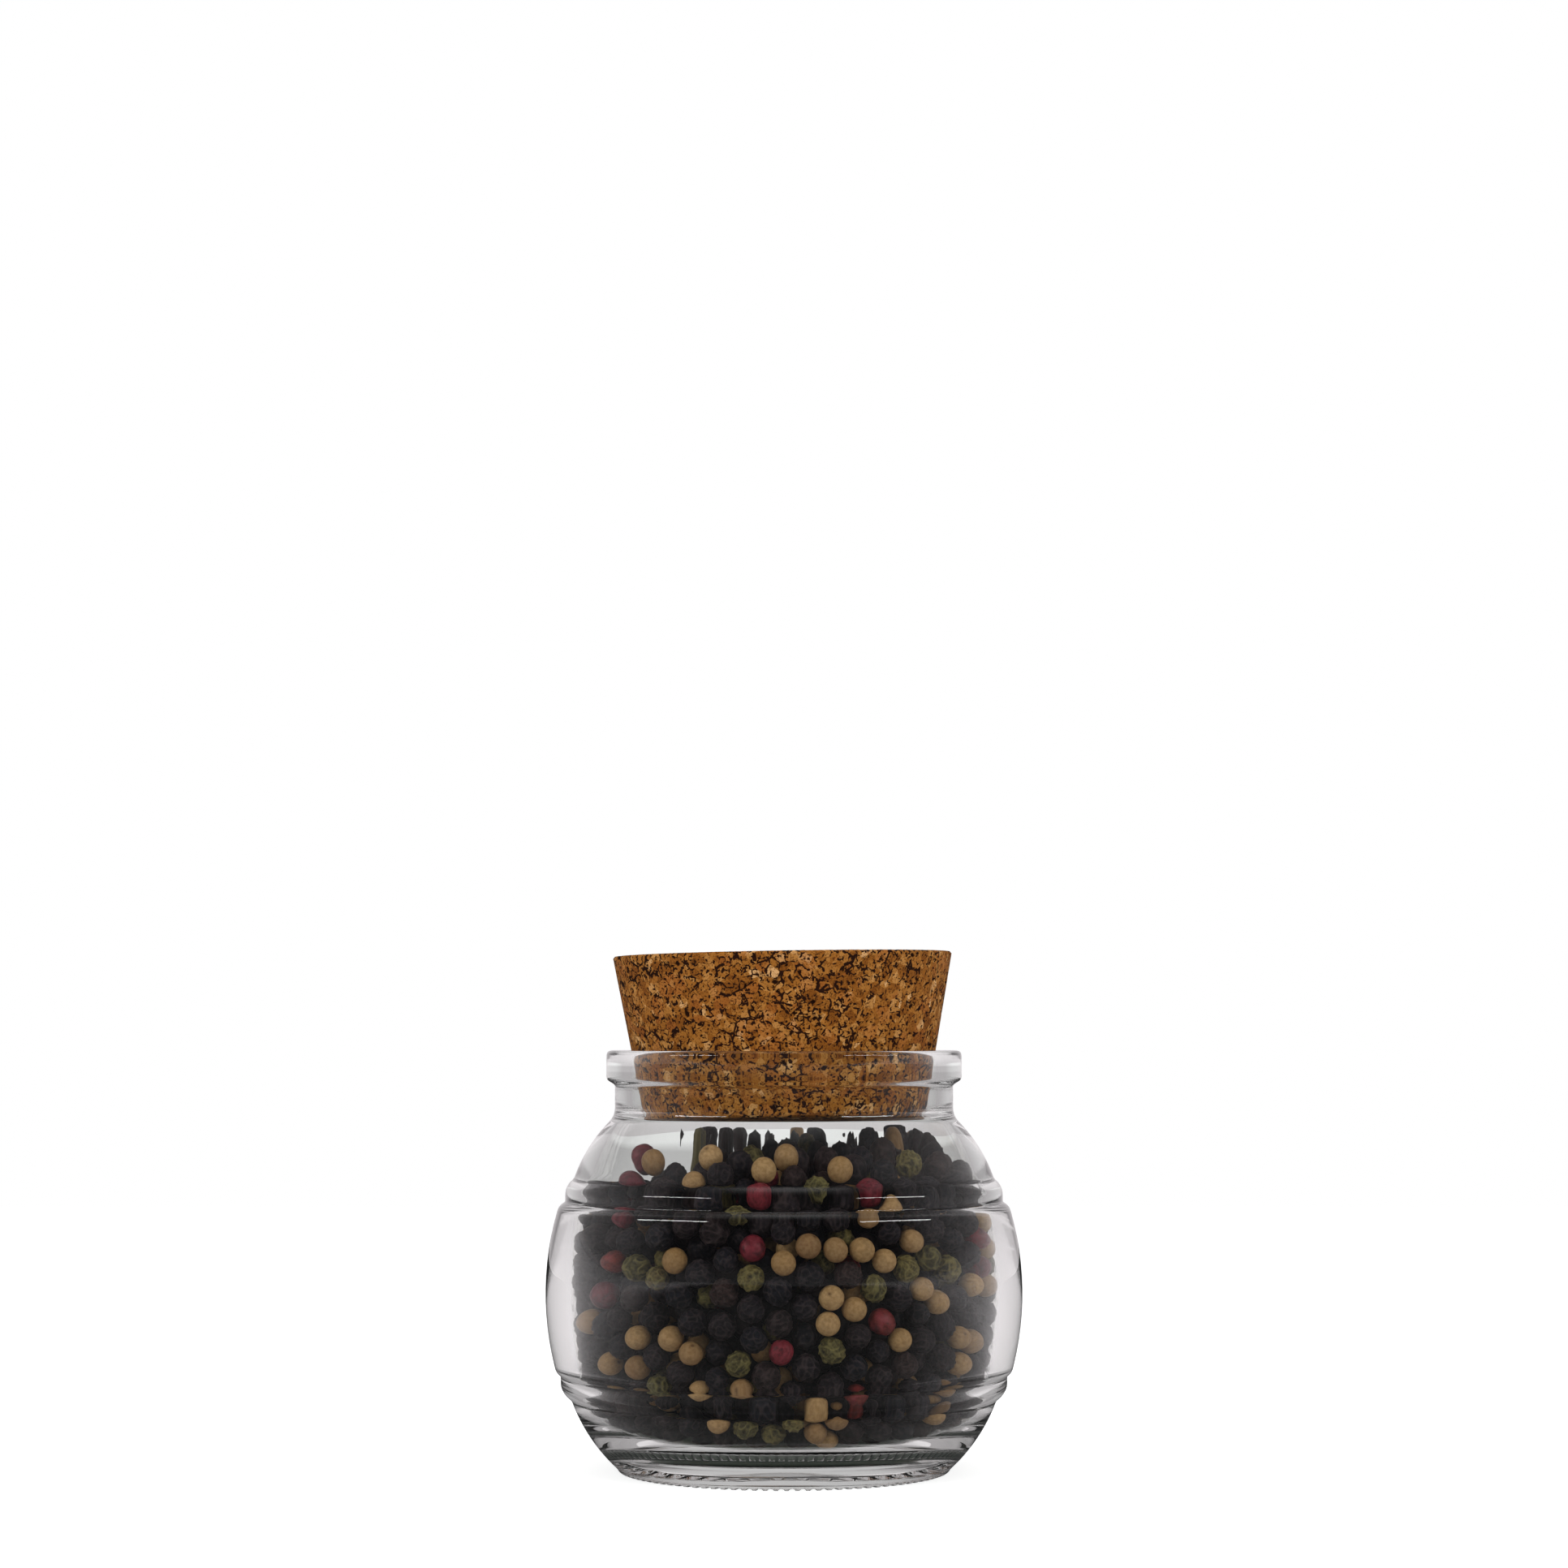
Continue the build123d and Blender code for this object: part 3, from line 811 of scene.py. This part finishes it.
# The wall is a little darker level with the rim and above it
level = add_node(
    tree,
    "ShaderNodeMapRange",
    {"From Min": -0.03, "From Max": 0.0, "To Min": 0.0, "To Max": 0.6},
    {"Value": way["Z"]},
).outputs[0]
behind = add_node(
    tree,
    "ShaderNodeMix",
    {"data_type": "RGBA", OVER: srgb("#9a9798")},
    {SHARE: level, UNDER: behind},
).outputs[MIXED]
# The side of the room above the camera is dark
front = add_node(
    tree, "ShaderNodeMapRange", {"From Min": -0.15, "From Max": -0.5}, {"Value": way["Y"]}
).outputs[0]
high = add_node(
    tree, "ShaderNodeMapRange", {"From Min": -0.06, "From Max": 0.08}, {"Value": way["Z"]}
).outputs[0]
gloom = add_node(tree, "ShaderNodeMath", {"operation": "MULTIPLY"}, {0: front, 1: high}).outputs[0]
behind = add_node(
    tree,
    "ShaderNodeMix",
    {"data_type": "RGBA", OVER: srgb("#3a3a3c")},
    {SHARE: gloom, UNDER: behind},
).outputs[MIXED]
ray = add_node(tree, "ShaderNodeLightPath").outputs
# Plain surfaces get an even light, whichever ray they send. Glass gets the two rooms above.
room = add_node(
    tree,
    "ShaderNodeMix",
    {"data_type": "RGBA", UNDER: srgb("#c4c4c4")},
    {SHARE: ray["Is Glossy Ray"], OVER: mirrored},
).outputs[MIXED]
room = add_node(
    tree,
    "ShaderNodeMix",
    {"data_type": "RGBA"},
    {SHARE: ray["Is Transmission Ray"], UNDER: room, OVER: behind},
).outputs[MIXED]
room = add_node(
    tree,
    "ShaderNodeMix",
    {"data_type": "RGBA", OVER: srgb("#ffffff")},
    {SHARE: ray["Is Camera Ray"], UNDER: room},
).outputs[MIXED]
light = add_node(tree, "ShaderNodeBackground", links={"Color": room}).outputs[0]
add_node(tree, "ShaderNodeOutputWorld", links={"Surface": light})

# The table is matt white. The camera sees it as white as the wall, apart from the jar's shadow.
# Seen in the glass it is painted dark, a painted darker reflection: all of it where the glass mirrors
# it, and a patch in front of the jar where it shows through the glass. This keeps its sheen off the
# glass.
# The table reaches 900 millimetres each way. The dark patch and the jar's painted shadow are in
# metres.
TABLE_REACH = 900
DARK_PATCH_MIDDLE = (0, -0.62, 0)
DARK_PATCH_EDGE = (0.55, 0.7)
SHADE_EDGE = (0.024, 0.04)
WHITE_TO_CAMERA, WHITE_THROUGH_GLASS = 0.55, 0.3
table, tree = new_material("table_white_matt")
place = add_node(tree, "ShaderNodeTexCoord").outputs["Object"]
ray = add_node(tree, "ShaderNodeLightPath").outputs
reach = add_node(
    tree, "ShaderNodeVectorMath", {"operation": "DISTANCE", 1: DARK_PATCH_MIDDLE}, {0: place}
).outputs["Value"]
bare = add_node(
    tree,
    "ShaderNodeMapRange",
    {"From Min": DARK_PATCH_EDGE[0], "From Max": DARK_PATCH_EDGE[1]},
    {"Value": reach},
).outputs[0]
# Through the glass, a dark patch is painted on the table in front of the jar
through = add_node(
    tree,
    "ShaderNodeMix",
    {"data_type": "RGBA", UNDER: srgb("#505050"), OVER: srgb("#dad3d6")},
    {SHARE: bare},
).outputs[MIXED]
# Under the jar, as seen through the glass, the table has a painted shadow
from_axis = add_node(
    tree, "ShaderNodeVectorMath", {"operation": "LENGTH"}, {0: place}
).outputs["Value"]
beside = add_node(
    tree,
    "ShaderNodeMapRange",
    {"From Min": SHADE_EDGE[0], "From Max": SHADE_EDGE[1]},
    {"Value": from_axis},
).outputs[0]
through = add_node(
    tree,
    "ShaderNodeMix",
    {"data_type": "RGBA", UNDER: srgb("#565c54")},
    {SHARE: beside, OVER: through},
).outputs[MIXED]
# The glow seen through the glass stops in the painted shadow and in the dark patch
bare = add_node(tree, "ShaderNodeMath", {"operation": "MULTIPLY"}, {0: bare, 1: beside}).outputs[0]
# The glass mirrors the table painted dark: a painted darker reflection
cover = add_node(
    tree,
    "ShaderNodeMix",
    {"data_type": "RGBA", UNDER: srgb("#ebebeb"), OVER: srgb("#484848")},
    {SHARE: ray["Is Glossy Ray"]},
).outputs[MIXED]
cover = add_node(
    tree,
    "ShaderNodeMix",
    {"data_type": "RGBA"},
    {SHARE: ray["Is Transmission Ray"], UNDER: cover, OVER: through},
).outputs[MIXED]
matt = add_node(tree, "ShaderNodeBsdfDiffuse", links={"Color": cover}).outputs[0]
shine = add_node(
    tree, "ShaderNodeMath", {"operation": "MULTIPLY"}, {0: ray["Is Transmission Ray"], 1: bare}
).outputs[0]
shine = add_node(
    tree, "ShaderNodeMath", {"operation": "MULTIPLY", 1: WHITE_THROUGH_GLASS}, {0: shine}
).outputs[0]
strength = add_node(
    tree,
    "ShaderNodeMath",
    {"operation": "MULTIPLY_ADD", 1: WHITE_TO_CAMERA},
    {0: ray["Is Camera Ray"], 2: shine},
).outputs[0]
glow = add_node(
    tree, "ShaderNodeEmission", {"Color": srgb("#ffffff")}, {"Strength": strength}
).outputs[0]
both = add_node(tree, "ShaderNodeAddShader", links={0: matt, 1: glow}).outputs[0]
add_node(tree, "ShaderNodeOutputMaterial", links={"Surface": both})
floor = add_mesh(
    "table",
    [(x * TABLE_REACH, y * TABLE_REACH, 0) for x, y in ((-1, -1), (1, -1), (1, 1), (-1, 1))],
    np.array([[0, 1, 2, 3]]),
    table,
)

# Each lamp stands at the left and at the right, in metres from the jar, and faces its middle
AIM = Vector((0, 0, 0.045))
LAMP_PLACE = (0.52, -0.42, 0.45)
LAMP_WIDTH = 0.4
LAMP_WATTS = 2.8
STRIP_PLACE = (0.517, -0.292, 0.343)
STRIP_WIDTH = 0.44
STRIP_HEIGHT = 0.04
STRIP_TILT = radians(9.1)
STRIP_WATTS = 0.65
for side in (-1, 1):
    lamp = bpy.data.lights.new("soft_lamp", "AREA")
    lamp.shape, lamp.size, lamp.energy = "SQUARE", LAMP_WIDTH, LAMP_WATTS
    stand = bpy.data.objects.new("soft_lamp", lamp)
    stand.location = (side * LAMP_PLACE[0], *LAMP_PLACE[1:])
    stand.rotation_euler = (AIM - stand.location).to_track_quat("-Z", "Y").to_euler()
    # The glass shows the room and the strips, but not this lamp
    stand.visible_glossy = stand.visible_transmission = False
    scene.collection.objects.link(stand)
    # The strip lights nothing that is dull, and glints on the edges of the hoops and of the rim
    lamp = bpy.data.lights.new("strip_lamp", "AREA")
    lamp.shape, lamp.size, lamp.size_y = "RECTANGLE", STRIP_WIDTH, STRIP_HEIGHT
    lamp.energy = STRIP_WATTS
    stand = bpy.data.objects.new("strip_lamp", lamp)
    stand.location = (side * STRIP_PLACE[0], *STRIP_PLACE[1:])
    facing = (AIM - stand.location).to_track_quat("-Z", "Y")
    stand.rotation_euler = (facing @ Quaternion((0, 0, 1), -side * STRIP_TILT)).to_euler()
    stand.visible_diffuse = stand.visible_transmission = False
    scene.collection.objects.link(stand)

# The eye stands 0.59 m from the jar, just above its rim, and looks slightly up
EYE_DISTANCE = 0.59448
EYE_HEIGHT = 0.072547
EYE_PITCH = 4.1034
LENS = 80.58
camera = bpy.data.objects.new("camera", bpy.data.cameras.new("camera"))
scene.collection.objects.link(camera)
camera.data.lens = LENS
camera.location = (0, -EYE_DISTANCE, EYE_HEIGHT)
camera.rotation_euler = (radians(90 + EYE_PITCH), 0, 0)
scene.camera = camera
